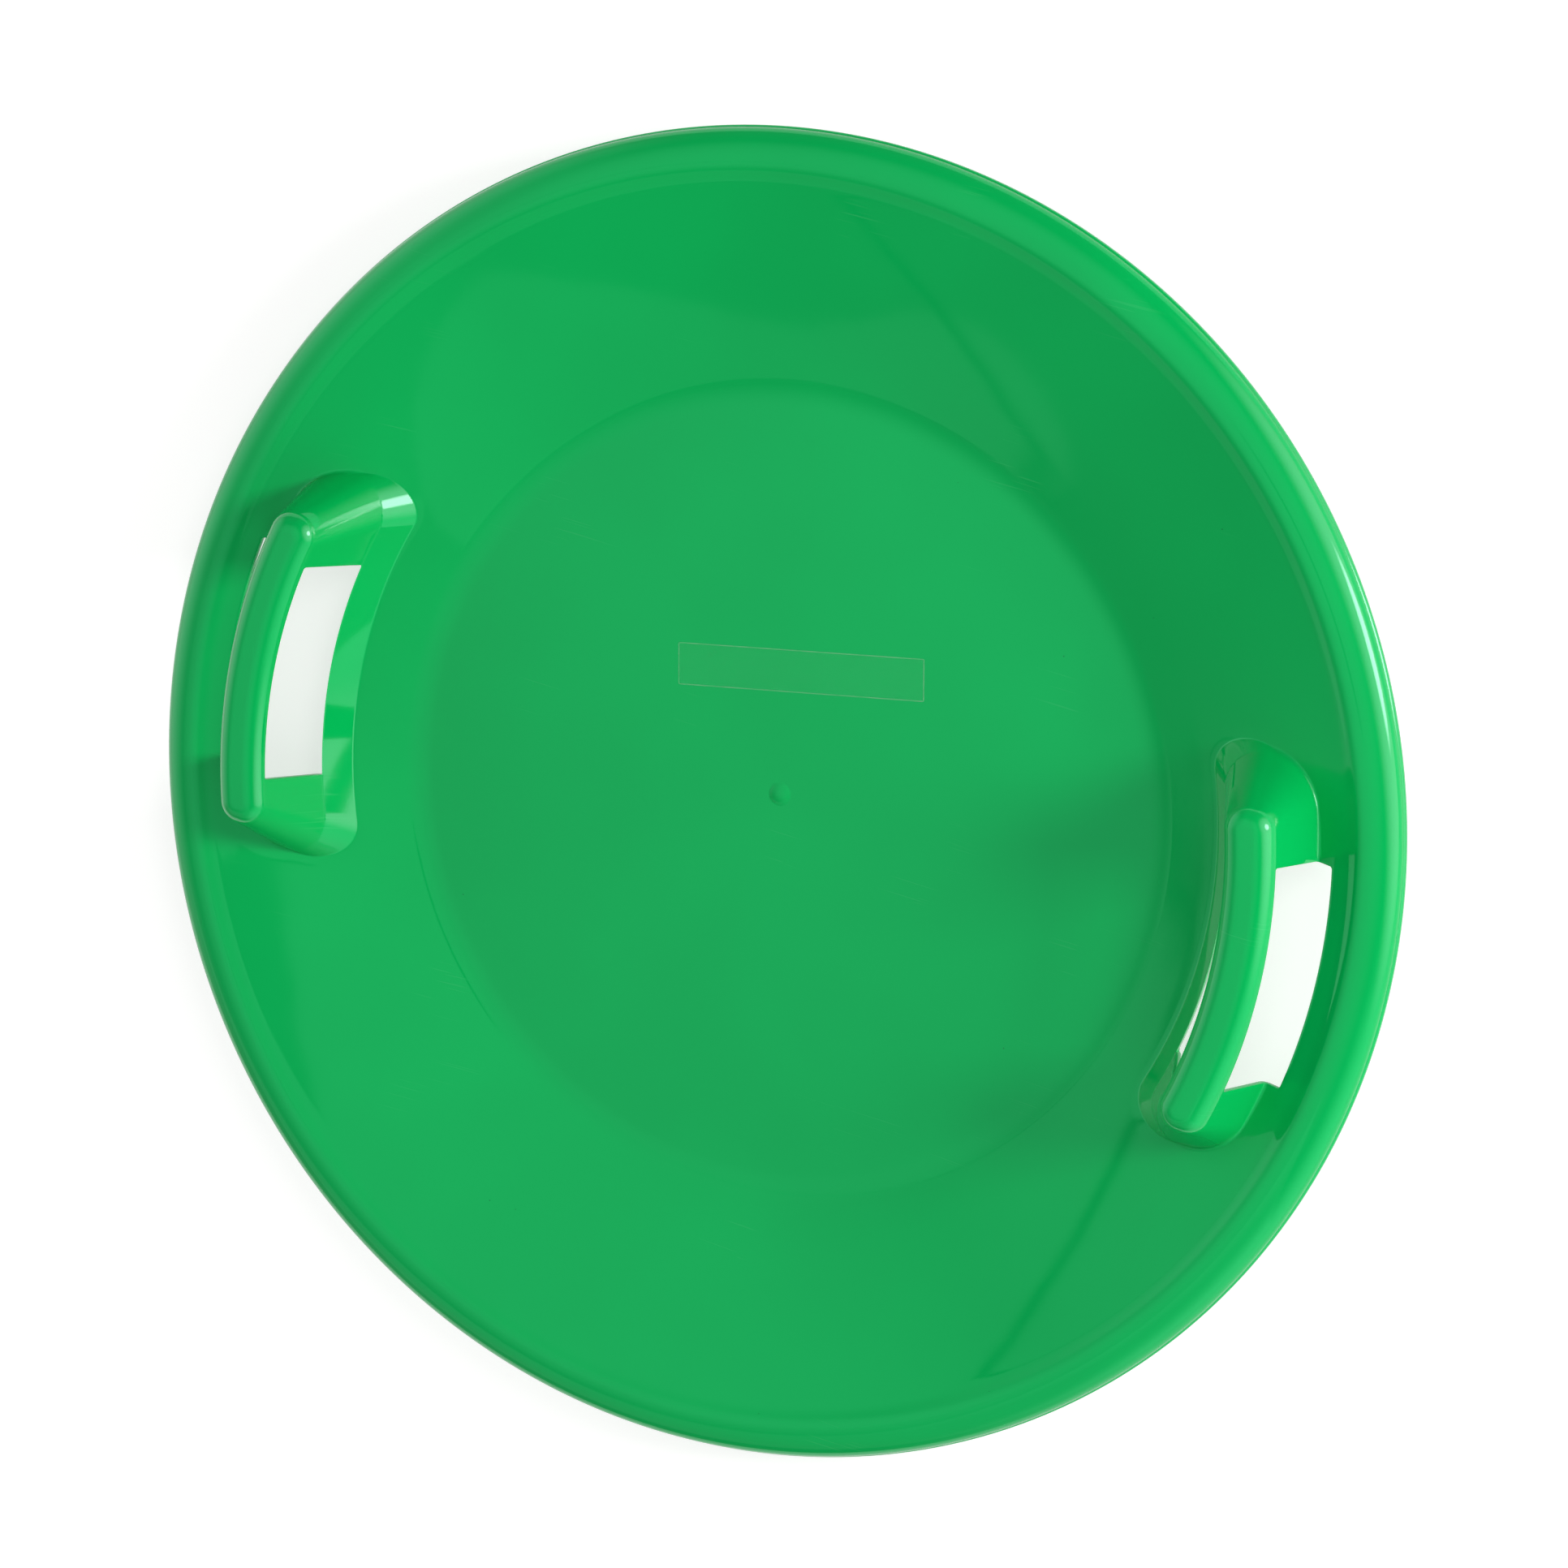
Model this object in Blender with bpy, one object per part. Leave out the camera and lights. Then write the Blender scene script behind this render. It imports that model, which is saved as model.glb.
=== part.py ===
"""Round snow saucer with two moulded grips and a clear film label.

The sled lies flat as it is used, open side up, and rests on its floor at z = 0.
+X runs through one grip, and the other grip is opposite. All sizes are in metres.
"""

import math

import bmesh
import bpy
from mathutils import Matrix, Vector

# Dish: a flat floor, a sloping side and a rolled lip, all of one wall
RIM_RADIUS = 0.330
WALL = 0.0028
LIP_WIDTH = 0.0285
SIDE_WIDTH = 0.1025
SIDE_SLOPE = math.radians(17.5)
FLOOR_BLEND_RADIUS = 0.100
LIP_SLOPE = math.radians(45.0)
LIP_BLEND_RADIUS = 0.010
LIP_ROLL_RADIUS = 0.012
HEM_OUT = 0.0009
HEM_HEIGHT = 0.0022
SKIRT_DROP = 0.0055

# Moulding gate at the centre of the floor
GATE_RADIUS = 0.0052
GATE_HEIGHT = 0.0014

# Handles: a hollow mound whose top is the grip, with heights above the floor
GRIP_INSET = 0.0636
GRIP_WIDTH = 0.0255
GRIP_HALF_LENGTH = 0.0805
GRIP_CORNER = 0.0115
GRIP_TOP = 0.0711
GRIP_EDGE = 0.0637
GRIP_ROUNDING = 0.010
STRIP_HEIGHT = 0.026
INBOARD_LEAN = math.radians(17.2)
STRIP_LEAN = math.radians(32.8)
OUTBOARD_LEAN = math.radians(14.0)
END_LEAN = math.radians(21.5)
# Share of its drop below the grip's edge by which each corner of the mound widens
INNER_CORNER_SHARE = 0.08
OUTER_CORNER_SHARE = 0.42

# Hand slots, cut straight through on both sides of the grip
INBOARD_GAP = 0.0118
OUTBOARD_GAP = 0.0152
SLOT_HALF_LENGTH = 0.0555
SLOT_CORNER = 0.0012
GRIP_TRIM = 0.0002

# Clear film label on the floor
LABEL_LENGTH = 0.1315
LABEL_WIDTH = 0.0212
LABEL_THICKNESS = 0.0003
LABEL_CORNER = 0.0010
LABEL_PLACE_X = -0.0028
LABEL_PLACE_Y = 0.0627
LABEL_TURN = math.radians(12.3)
LABEL_CLEARANCE = 0.0003

# How far a cutter runs past what it cuts
OVERRUN = 0.010

# Faces that meet at more than this are shaded as a crisp edge
CREASE = math.radians(30.0)

# Counts of facets
TURNS = 88
BLEND_STEPS = 4
ROLL_STEPS = 6
GATE_STEPS = 2
ARC_STEPS = 12
CORNER_STEPS = 4
ROUNDING_STEPS = 3
SLOT_ARC_STEPS = 14
SLOT_CORNER_STEPS = 2
HANDLE_COUNT = 2

FULL_TURN = 2.0 * math.pi
QUARTER_TURN = math.pi / 2.0
MERGE = 1e-6

SLED_GREEN = (0.012, 0.420, 0.098, 1.0)
FILM_GREY = (0.62, 0.80, 0.68, 1.0)

# Worked out from the sizes above, the radii from the rim inwards
FLOOR_TOP = WALL
LIP_FOOT_RADIUS = RIM_RADIUS - LIP_WIDTH
FLOOR_RADIUS = LIP_FOOT_RADIUS - SIDE_WIDTH
GRIP_RADIUS = RIM_RADIUS - GRIP_INSET
SKIRT_RADIUS = RIM_RADIUS - HEM_OUT
ROLL_CENTRE_RADIUS = SKIRT_RADIUS - LIP_ROLL_RADIUS
GRIP_INNER = GRIP_RADIUS - GRIP_WIDTH / 2.0
GRIP_OUTER = GRIP_RADIUS + GRIP_WIDTH / 2.0
SLOT_INNER = GRIP_INNER - INBOARD_GAP
SLOT_OUTER = GRIP_OUTER + OUTBOARD_GAP
GRIP_TOP_Z = FLOOR_TOP + GRIP_TOP
GRIP_EDGE_Z = FLOOR_TOP + GRIP_EDGE
STRIP_Z = FLOOR_TOP + STRIP_HEIGHT
MOUND_FOOT_Z = -OVERRUN


def clear_scene():
    for item in list(bpy.data.objects):
        bpy.data.objects.remove(item, do_unlink=True)


def make_material(name, color, roughness):
    material = bpy.data.materials.new(name)
    material.use_nodes = True
    shader = material.node_tree.nodes["Principled BSDF"]
    shader.inputs["Base Color"].default_value = color
    shader.inputs["Roughness"].default_value = roughness
    shader.inputs["Metallic"].default_value = 0.0
    material.diffuse_color = color
    return material


def make_object(name, bm, material=None):
    """Turn a bmesh into a named object; one without a material is a cutter."""
    bmesh.ops.recalc_face_normals(bm, faces=bm.faces)
    mesh = bpy.data.meshes.new(name)
    bm.to_mesh(mesh)
    bm.free()
    item = bpy.data.objects.new(name, mesh)
    bpy.context.collection.objects.link(item)
    if material:
        mesh.materials.append(material)
    else:
        item.hide_render = True
        item.display_type = "WIRE"
    return item


def add_boolean(item, operation, other):
    cut = item.modifiers.new(other.name, "BOOLEAN")
    cut.operation = operation
    cut.object = other
    cut.solver = "EXACT"


def shade(item):
    """Keep the modifiers' result as the object's mesh, smooth but for its creases."""
    solid = item.evaluated_get(bpy.context.evaluated_depsgraph_get())
    item.data = bpy.data.meshes.new_from_object(solid)
    item.modifiers.clear()
    item.data.shade_smooth()
    item.data.set_sharp_from_angle(angle=CREASE)


def side_height(radius):
    """Height of the sloping side's top face over the floor's, before the blends."""
    return (radius - FLOOR_RADIUS) * math.tan(SIDE_SLOPE)


def blend(corner_radius, corner_height, slope_in, slope_out, radius):
    """Points (r, height, slope) of the arc that rounds a corner curving upwards."""
    reach = radius * math.tan((slope_out - slope_in) / 2.0)
    start_r = corner_radius - reach * math.cos(slope_in)
    start_h = corner_height - reach * math.sin(slope_in)
    centre_r = start_r - radius * math.sin(slope_in)
    centre_h = start_h + radius * math.cos(slope_in)
    points = []
    for step in range(BLEND_STEPS + 1):
        slope = slope_in + (slope_out - slope_in) * step / BLEND_STEPS
        points.append((centre_r + radius * math.sin(slope),
                       centre_h - radius * math.cos(slope), slope))
    return points


def roll_centre_height():
    """Height of the lip's centre, so that the lip's inner face is tangent to it."""
    tangent_radius = ROLL_CENTRE_RADIUS - LIP_ROLL_RADIUS * math.sin(LIP_SLOPE)
    rise = (tangent_radius - LIP_FOOT_RADIUS) * math.tan(LIP_SLOPE)
    tangent_height = side_height(LIP_FOOT_RADIUS) + rise
    return tangent_height - LIP_ROLL_RADIUS * math.cos(LIP_SLOPE)


def dish_top():
    """Top face from the edge of the floor to the lip's outside, as (r, height, slope)."""
    points = blend(FLOOR_RADIUS, 0, 0, SIDE_SLOPE, FLOOR_BLEND_RADIUS)
    points += blend(LIP_FOOT_RADIUS, side_height(LIP_FOOT_RADIUS),
                    SIDE_SLOPE, LIP_SLOPE, LIP_BLEND_RADIUS)
    centre_height = roll_centre_height()
    for step in range(ROLL_STEPS + 1):
        slope = LIP_SLOPE - (LIP_SLOPE + QUARTER_TURN) * step / ROLL_STEPS
        points.append((ROLL_CENTRE_RADIUS - LIP_ROLL_RADIUS * math.sin(slope),
                       centre_height + LIP_ROLL_RADIUS * math.cos(slope), slope))
    return points


def offset_down(point, distance):
    """The point this far below a point of the top face, square to the face."""
    radius, height, slope = point
    return (radius + distance * math.sin(slope), height - distance * math.cos(slope))


def gate_profile():
    """The low dome left by the moulding gate, from its top to its edge."""
    sphere = (GATE_RADIUS ** 2 + GATE_HEIGHT ** 2) / (2.0 * GATE_HEIGHT)
    half_angle = math.asin(GATE_RADIUS / sphere)
    points = []
    for step in range(GATE_STEPS + 1):
        angle = half_angle * step / GATE_STEPS
        points.append((sphere * math.sin(angle),
                       GATE_HEIGHT - sphere + sphere * math.cos(angle)))
    return points


def hem_profile():
    """The small hem round the skirt's lower edge, from the outside to the inside."""
    edge = roll_centre_height() - SKIRT_DROP
    return [(SKIRT_RADIUS, edge + HEM_HEIGHT + HEM_OUT),
            (RIM_RADIUS, edge + HEM_HEIGHT),
            (RIM_RADIUS, edge),
            (SKIRT_RADIUS - WALL, edge)]


def revolve(profile):
    """Full turn of an (r, z) profile whose ends lie on the axis or meet each other."""
    bm = bmesh.new()
    verts = [bm.verts.new((radius, 0, z)) for radius, z in profile]
    edges = [bm.edges.new(pair) for pair in zip(verts, verts[1:])]
    bmesh.ops.spin(bm, geom=verts + edges, cent=(0, 0, 0), axis=(0, 0, 1),
                   angle=FULL_TURN, steps=TURNS, use_merge=True)
    bmesh.ops.remove_doubles(bm, verts=bm.verts, dist=MERGE)
    return bm


def make_dish(material):
    top = dish_top()
    above = gate_profile() + [point[:2] for point in top] + hem_profile()
    below = [offset_down(point, WALL) for point in reversed(top)]
    below.append((0, -WALL))
    profile = [(radius, height + FLOOR_TOP) for radius, height in above + below]
    return make_object("sled_shell", revolve(profile), material)


def make_under_side():
    """Everything below the middle of the dish's wall, to trim the mounds' feet."""
    middle = [offset_down(point, WALL / 2.0) for point in dish_top()[:BLEND_STEPS + 1]]
    last_radius, last_height = middle[-1]
    reach = RIM_RADIUS - last_radius
    middle.append((RIM_RADIUS, last_height + reach * math.tan(SIDE_SLOPE)))
    profile = [(0, -WALL / 2.0)] + middle
    depth = MOUND_FOOT_Z - FLOOR_TOP - OVERRUN
    profile += [(RIM_RADIUS, depth), (0, depth)]
    return make_object("under_side",
                       revolve([(radius, height + FLOOR_TOP) for radius, height in profile]))


def corner_points(centre_radius, half_length, corner, start, end, steps):
    """Arc of a band's corner; its centre lies on centre_radius, corner inside the end."""
    centre_y = half_length - corner
    centre_x = math.sqrt(centre_radius ** 2 - centre_y ** 2)
    return [(centre_x + corner * math.cos(start + (end - start) * step / steps),
             centre_y + corner * math.sin(start + (end - start) * step / steps))
            for step in range(steps + 1)]


def arc_points(radius, start, end, steps):
    """Inner points of an arc about the sled's centre."""
    return [(radius * math.cos(start + (end - start) * step / steps),
             radius * math.sin(start + (end - start) * step / steps))
            for step in range(1, steps)]


def band_outline(radii, half_length, corners, arc_steps, corner_steps):
    """Closed outline of a band that curves about the sled's centre, at +X."""
    inner, outer = radii
    inner_corner, outer_corner = corners
    inner_turn = math.asin((half_length - inner_corner) / (inner + inner_corner))
    outer_turn = math.asin((half_length - outer_corner) / (outer - outer_corner))
    upper = corner_points(outer - outer_corner, half_length, outer_corner,
                          outer_turn, QUARTER_TURN, corner_steps)
    upper += corner_points(inner + inner_corner, half_length, inner_corner,
                           QUARTER_TURN, math.pi + inner_turn, corner_steps)
    lower = [(x, -y) for x, y in reversed(upper)]
    outline = arc_points(outer, -outer_turn, outer_turn, arc_steps) + upper
    outline += arc_points(inner, inner_turn, -inner_turn, arc_steps) + lower
    return outline


def loft(name, sections):
    """Closed solid skinned over (outline, z) sections with equal counts, per handle."""
    bm = bmesh.new()
    rings = []
    for outline, z in sections:
        verts = [bm.verts.new((x, y, z)) for x, y in outline]
        rings.append([bm.edges.new(pair) for pair in zip(verts, verts[1:] + verts[:1])])
        if len(rings) == 1:
            bm.faces.new(verts)
    bm.faces.new(verts)
    for lower, upper in zip(rings, rings[1:]):
        bmesh.ops.bridge_loops(bm, edges=lower + upper)
    bmesh.ops.triangulate(bm, faces=bm.faces)
    bmesh.ops.recalc_face_normals(bm, faces=bm.faces)
    original = bm.verts[:] + bm.edges[:] + bm.faces[:]
    for copy in range(1, HANDLE_COUNT):
        spare = bmesh.ops.duplicate(bm, geom=original)["geom"]
        moved = [part for part in spare if isinstance(part, bmesh.types.BMVert)]
        turn = Matrix.Rotation(FULL_TURN * copy / HANDLE_COUNT, 3, "Z")
        bmesh.ops.rotate(bm, verts=moved, cent=(0, 0, 0), matrix=turn)
    return make_object(name, bm)


def mound_section(z, inset):
    """Outline of the mound at this height, this far inside its leaning faces."""
    drop = GRIP_EDGE_Z - z
    strip_drop = max(0, STRIP_Z - z)
    inner = GRIP_INNER + inset - (drop - strip_drop) * math.tan(INBOARD_LEAN)
    inner -= strip_drop * math.tan(STRIP_LEAN)
    outer = GRIP_OUTER - inset + drop * math.tan(OUTBOARD_LEAN)
    half_length = GRIP_HALF_LENGTH - inset + drop * math.tan(END_LEAN)
    corners = [GRIP_CORNER - inset + max(0, drop) * share
               for share in (INNER_CORNER_SHARE, OUTER_CORNER_SHARE)]
    return band_outline((inner, outer), half_length, corners, ARC_STEPS, CORNER_STEPS)


def make_mound(name, thickness):
    """Both mounds, this far inside the handle's outer skin all round."""
    rounding = GRIP_ROUNDING - thickness
    shoulder = GRIP_TOP_Z - GRIP_ROUNDING * (1.0 - math.sin(INBOARD_LEAN))
    sections = []
    for z in (MOUND_FOOT_Z - thickness, STRIP_Z, GRIP_EDGE_Z):
        sections.append((mound_section(z, thickness), z))
    for step in range(ROUNDING_STEPS + 1):
        angle = INBOARD_LEAN + (QUARTER_TURN - INBOARD_LEAN) * step / ROUNDING_STEPS
        inset = thickness + rounding * (math.cos(INBOARD_LEAN) - math.cos(angle))
        z = shoulder + rounding * (math.sin(angle) - math.sin(INBOARD_LEAN))
        outline = mound_section(shoulder, inset)
        sections.append((outline, z))
    return loft(name, sections)


def make_slots():
    """The cut on both sides of each grip and below it."""
    bottom = MOUND_FOOT_Z
    top = GRIP_TOP_Z + OVERRUN
    corners = (SLOT_CORNER, SLOT_CORNER)
    band = band_outline((SLOT_INNER, SLOT_OUTER), SLOT_HALF_LENGTH, corners,
                        SLOT_ARC_STEPS, SLOT_CORNER_STEPS)
    slots = loft("slots", [(band, bottom), (band, top)])
    kept = band_outline((GRIP_INNER + GRIP_TRIM, GRIP_OUTER - GRIP_TRIM),
                        SLOT_HALF_LENGTH + OVERRUN, corners,
                        SLOT_ARC_STEPS, SLOT_CORNER_STEPS)
    grip_cores = loft("grip_cores", [(kept, GRIP_EDGE_Z), (kept, top + OVERRUN)])
    add_boolean(slots, "DIFFERENCE", grip_cores)
    return slots


def make_shell(material):
    """The one moulding: dish, lip and both handles."""
    shell = make_dish(material)
    mounds = make_mound("mounds", 0)
    add_boolean(mounds, "DIFFERENCE", make_under_side())
    add_boolean(shell, "UNION", mounds)
    add_boolean(shell, "DIFFERENCE", make_mound("mound_hollows", WALL))
    add_boolean(shell, "DIFFERENCE", make_slots())
    shade(shell)
    return shell


def make_label(material):
    """Thin clear film on the floor, with slightly rounded corners."""
    bm = bmesh.new()
    size = Vector((LABEL_LENGTH, LABEL_WIDTH, LABEL_THICKNESS))
    bmesh.ops.create_cube(bm, size=1.0, matrix=Matrix.Diagonal(size.to_4d()))
    upright = [edge for edge in bm.edges if abs(edge.verts[0].co.z - edge.verts[1].co.z) > 0]
    bmesh.ops.bevel(bm, geom=upright, offset=LABEL_CORNER, offset_type="OFFSET",
                    segments=CORNER_STEPS, profile=0.5, affect="EDGES")
    label = make_object("label", bm, material)
    seat = FLOOR_TOP + LABEL_CLEARANCE + LABEL_THICKNESS / 2.0
    label.location = (LABEL_PLACE_X, LABEL_PLACE_Y, seat)
    label.rotation_euler.z = LABEL_TURN
    return label


def main():
    clear_scene()
    make_shell(make_material("sled_green", SLED_GREEN, 0.22))
    make_label(make_material("clear_film", FILM_GREY, 0.30))


main()
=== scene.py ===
"""Saucer sled: one glossy green moulding with two hollow grips, and a clear film label."""

import math

import bmesh
import bpy
from bpy.props import FloatProperty, FloatVectorProperty, PointerProperty
from mathutils import Matrix, Vector


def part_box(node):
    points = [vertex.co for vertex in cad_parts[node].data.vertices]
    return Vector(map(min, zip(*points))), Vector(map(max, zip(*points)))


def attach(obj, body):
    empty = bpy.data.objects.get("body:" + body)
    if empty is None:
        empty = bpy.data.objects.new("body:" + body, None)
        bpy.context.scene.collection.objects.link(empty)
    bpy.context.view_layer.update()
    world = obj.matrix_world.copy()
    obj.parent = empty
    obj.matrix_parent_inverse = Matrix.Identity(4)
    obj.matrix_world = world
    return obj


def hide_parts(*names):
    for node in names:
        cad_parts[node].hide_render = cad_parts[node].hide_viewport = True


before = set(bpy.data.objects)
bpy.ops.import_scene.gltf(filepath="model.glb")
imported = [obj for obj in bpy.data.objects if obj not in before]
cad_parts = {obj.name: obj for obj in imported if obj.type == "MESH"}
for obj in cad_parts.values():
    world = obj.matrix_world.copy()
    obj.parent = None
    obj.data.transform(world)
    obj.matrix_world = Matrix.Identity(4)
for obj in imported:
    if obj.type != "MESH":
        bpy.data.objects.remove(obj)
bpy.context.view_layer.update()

bl_info = {
    "name": "Saucer Sled",
    "version": (1, 0, 0),
    "blender": (4, 5, 0),
    "location": "3D View > Sidebar > Sled",
    "description": "Models the finished surfaces of a round snow saucer round its solids",
    "category": "Object",
}

FULL_TURN = 2.0 * math.pi
QUARTER_TURN = math.pi / 2.0
WHITE = (1.0, 1.0, 1.0, 1.0)

# The frame says where the rim is
RIM_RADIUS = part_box("sled_shell")[1].x

# Counts of steps along the dish's profile, and of turns about its axis
TURNS = 360
GATE_STEPS = 8
FLOOR_RINGS = 12
UNDER_RINGS = 5
FLOOR_BLEND_STEPS = 14
LIP_BLEND_STEPS = 6
CREST_STEPS = 8
ROLL_STEPS = 24
HEM_SEGMENTS = 3

# Each handle stands in a window of the dish: whole degrees each way, cells across, and
# where the window starts, as a share of the side's width
WINDOW_DEGREES = 28
WINDOW_CELLS = 24
WINDOW_START = 0.23

# Columns round a handle: along a slot, beside it, round a corner and along the end
SLOT_STEPS = 26
BESIDE_STEPS = 7
CORNER_STEPS = 16
END_STEPS = 8

# Rings up a handle
COLLAR_RINGS = 3
FOOT_STEPS = 6
WALL_STEPS = 6
ROUNDING_STEPS = 14

# The collar's inboard run lies this many collars from the slot, and its outboard corners
# grow by this share of what the mound's do
COLLAR_INBOARD = 3.2
COLLAR_OUTBOARD = 0.7

# Rounds of stepping that find where a mound meets the side
FOOT_TRIES = 12

HANDLE_COUNT = 2
CORNER_SEGMENTS = 4
EDGE_SEGMENTS = 2

# Distances within which points are one, a margin at a window's border, and the angles of a
# crease in the shading and of an edge that gets rounded
MERGE = 1e-6
SEAM_MERGE = 2e-5
BORDER_MARGIN = 1e-4
CREASE = math.radians(38.0)
SHARP = math.radians(60.0)


class SledSizes(bpy.types.PropertyGroup):
    """Sizes of the moulding, apart from its handles"""

    rim_radius: FloatProperty(
        name="Rim Radius", description="Outside radius over the hem",
        default=RIM_RADIUS, unit="LENGTH", precision=4)
    wall: FloatProperty(
        name="Wall", description="Thickness of the one moulded wall",
        default=0.0028, unit="LENGTH", precision=4)
    lip_width: FloatProperty(
        name="Lip Width", description="From the foot of the lip out to the rim",
        default=0.0254, unit="LENGTH", precision=4)
    side_width: FloatProperty(
        name="Side Width", description="From the edge of the floor out to the foot of the lip",
        default=0.1056, unit="LENGTH", precision=4)
    side_slope: FloatProperty(
        name="Side Slope", description="How steeply the side rises",
        default=math.radians(17.8), subtype="ANGLE")
    floor_blend: FloatProperty(
        name="Floor Blend", description="Radius between the floor and the side",
        default=0.048, unit="LENGTH", precision=4)
    lip_slope: FloatProperty(
        name="Lip Slope", description="How steeply the inside of the lip rises",
        default=math.radians(24.0), subtype="ANGLE")
    lip_blend: FloatProperty(
        name="Lip Blend", description="Radius between the side and the lip",
        default=0.040, unit="LENGTH", precision=4)
    crest_inset: FloatProperty(
        name="Crest", description="From the rim in to the top of the lip",
        default=0.0173, unit="LENGTH", precision=4)
    crest_round: FloatProperty(
        name="Crest Rounding", description="Radius of the lip inside its top",
        default=0.012, unit="LENGTH", precision=4)
    crest_drop: FloatProperty(
        name="Crest Drop", description="How far the lip falls from its top to its skirt",
        default=0.0092, unit="LENGTH", precision=4)
    hem_out: FloatProperty(
        name="Hem", description="How far the hem stands out of the skirt",
        default=0.0009, unit="LENGTH", precision=4)
    hem_height: FloatProperty(
        name="Hem Height", description="Height of the hem's outer face",
        default=0.0022, unit="LENGTH", precision=4)
    hem_edge: FloatProperty(
        name="Hem Edge", description="Rounding of the hem's edges",
        default=0.0004, unit="LENGTH", precision=4)
    skirt_drop: FloatProperty(
        name="Skirt", description="From the end of the crest's drop down to the lower edge",
        default=0.0034, unit="LENGTH", precision=4)
    gate_radius: FloatProperty(
        name="Gate Radius", description="Radius of the low dome at the centre",
        default=0.0057, unit="LENGTH", precision=4)
    gate_height: FloatProperty(
        name="Gate Height", description="Height of the low dome at the centre",
        default=0.0010, unit="LENGTH", precision=4)
    gate_foot: FloatProperty(
        name="Gate Foot", description="Width of the rounding at the foot of the low dome",
        default=0.0005, unit="LENGTH", precision=4)


class GripSizes(bpy.types.PropertyGroup):
    """Sizes of the two handles, with heights above the floor of the dish"""

    inset: FloatProperty(
        name="Inset", description="From the rim in to the middle of the grip",
        default=0.0636, unit="LENGTH", precision=4)
    width: FloatProperty(
        name="Width", description="Width of the grip at its edges",
        default=0.0255, unit="LENGTH", precision=4)
    half_length: FloatProperty(
        name="Half Length", description="Half of the grip's length at its edges",
        default=0.0815, unit="LENGTH", precision=4)
    corner: FloatProperty(
        name="Corner", description="Corner radius of the grip, seen from above",
        default=0.0115, unit="LENGTH", precision=4)
    top: FloatProperty(
        name="Top", description="Height of the grip's top",
        default=0.0711, unit="LENGTH", precision=4)
    edge: FloatProperty(
        name="Edge", description="Height of the grip's lower edges over the slots",
        default=0.0637, unit="LENGTH", precision=4)
    rounding: FloatProperty(
        name="Rounding", description="Radius along the top of the grip",
        default=0.010, unit="LENGTH", precision=4)
    strip_height: FloatProperty(
        name="Strip Height", description="Height of the lower strip inboard of the slot",
        default=0.026, unit="LENGTH", precision=4)
    inboard_lean: FloatProperty(
        name="Inboard Lean", description="Lean of the inboard face",
        default=math.radians(17.2), subtype="ANGLE")
    strip_lean: FloatProperty(
        name="Strip Lean", description="Lean of the lower strip",
        default=math.radians(32.8), subtype="ANGLE")
    outboard_lean: FloatProperty(
        name="Outboard Lean", description="Lean of the outboard face",
        default=math.radians(14.0), subtype="ANGLE")
    end_lean: FloatProperty(
        name="End Lean", description="Lean of both ends",
        default=math.radians(24.0), subtype="ANGLE")
    inner_corner_share: FloatProperty(
        name="Inboard Corner Growth",
        description="Growth of the inboard corners for each length of drop",
        default=0.16, subtype="FACTOR")
    outer_corner_share: FloatProperty(
        name="Outboard Corner Growth",
        description="Growth of the outboard corners for each length of drop",
        default=0.42, subtype="FACTOR")
    inboard_gap: FloatProperty(
        name="Inboard Gap", description="Width of the slot inboard of the grip",
        default=0.0118, unit="LENGTH", precision=4)
    outboard_gap: FloatProperty(
        name="Outboard Gap", description="Width of the slot outboard of the grip",
        default=0.0164, unit="LENGTH", precision=4)
    slot_half_length: FloatProperty(
        name="Slot Half Length", description="Half of each slot's length",
        default=0.0555, unit="LENGTH", precision=4)
    slot_corner: FloatProperty(
        name="Slot Corner", description="Corner radius of the slots",
        default=0.0012, unit="LENGTH", precision=4)
    slot_edge: FloatProperty(
        name="Slot Edge", description="Rounding along the slots' edges",
        default=0.0004, unit="LENGTH", precision=4)
    foot_fillet: FloatProperty(
        name="Foot Fillet", description="Radius where a handle rises from the dish",
        default=0.0020, unit="LENGTH", precision=4)
    crease: FloatProperty(
        name="Crease", description="Half width of the bend above the lower strip",
        default=0.0008, unit="LENGTH", precision=4)
    collar: FloatProperty(
        name="Collar", description="Flat margin of the dish that each handle's foot keeps",
        default=0.0040, unit="LENGTH", precision=4)


class FilmSizes(bpy.types.PropertyGroup):
    """Sizes of the clear film label"""

    length: FloatProperty(
        name="Length", description="Length of the film", default=0.1315, unit="LENGTH", precision=4)
    width: FloatProperty(
        name="Width", description="Width of the film", default=0.0212, unit="LENGTH", precision=4)
    thickness: FloatProperty(
        name="Thickness", description="Thickness of the film",
        default=0.00015, unit="LENGTH", precision=5)
    corner: FloatProperty(
        name="Corner", description="Corner radius of the film",
        default=0.0010, unit="LENGTH", precision=4)
    turn: FloatProperty(
        name="Turn", description="How far the film is turned from the line through both grips",
        default=math.radians(12.3), subtype="ANGLE")
    gap: FloatProperty(
        name="Glue", description="Thickness of the glue under the film",
        default=0.00003, unit="LENGTH", precision=5)
    edge: FloatProperty(
        name="Cut Edge", description="Width of the frosted line along the film's cut edge",
        default=0.0004, unit="LENGTH", precision=4)
    bubble: FloatProperty(
        name="Bubble", description="Radius of the air bubble near one corner",
        default=0.0011, unit="LENGTH", precision=4)
    bubble_height: FloatProperty(
        name="Bubble Height", description="How far the bubble lifts the film",
        default=0.00022, unit="LENGTH", precision=5)
    bubble_place: FloatVectorProperty(
        name="Bubble Place", description="Where the bubble is, over the floor of the dish",
        default=(-0.0515, 0.0575), size=2, subtype="TRANSLATION", unit="LENGTH")


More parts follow.
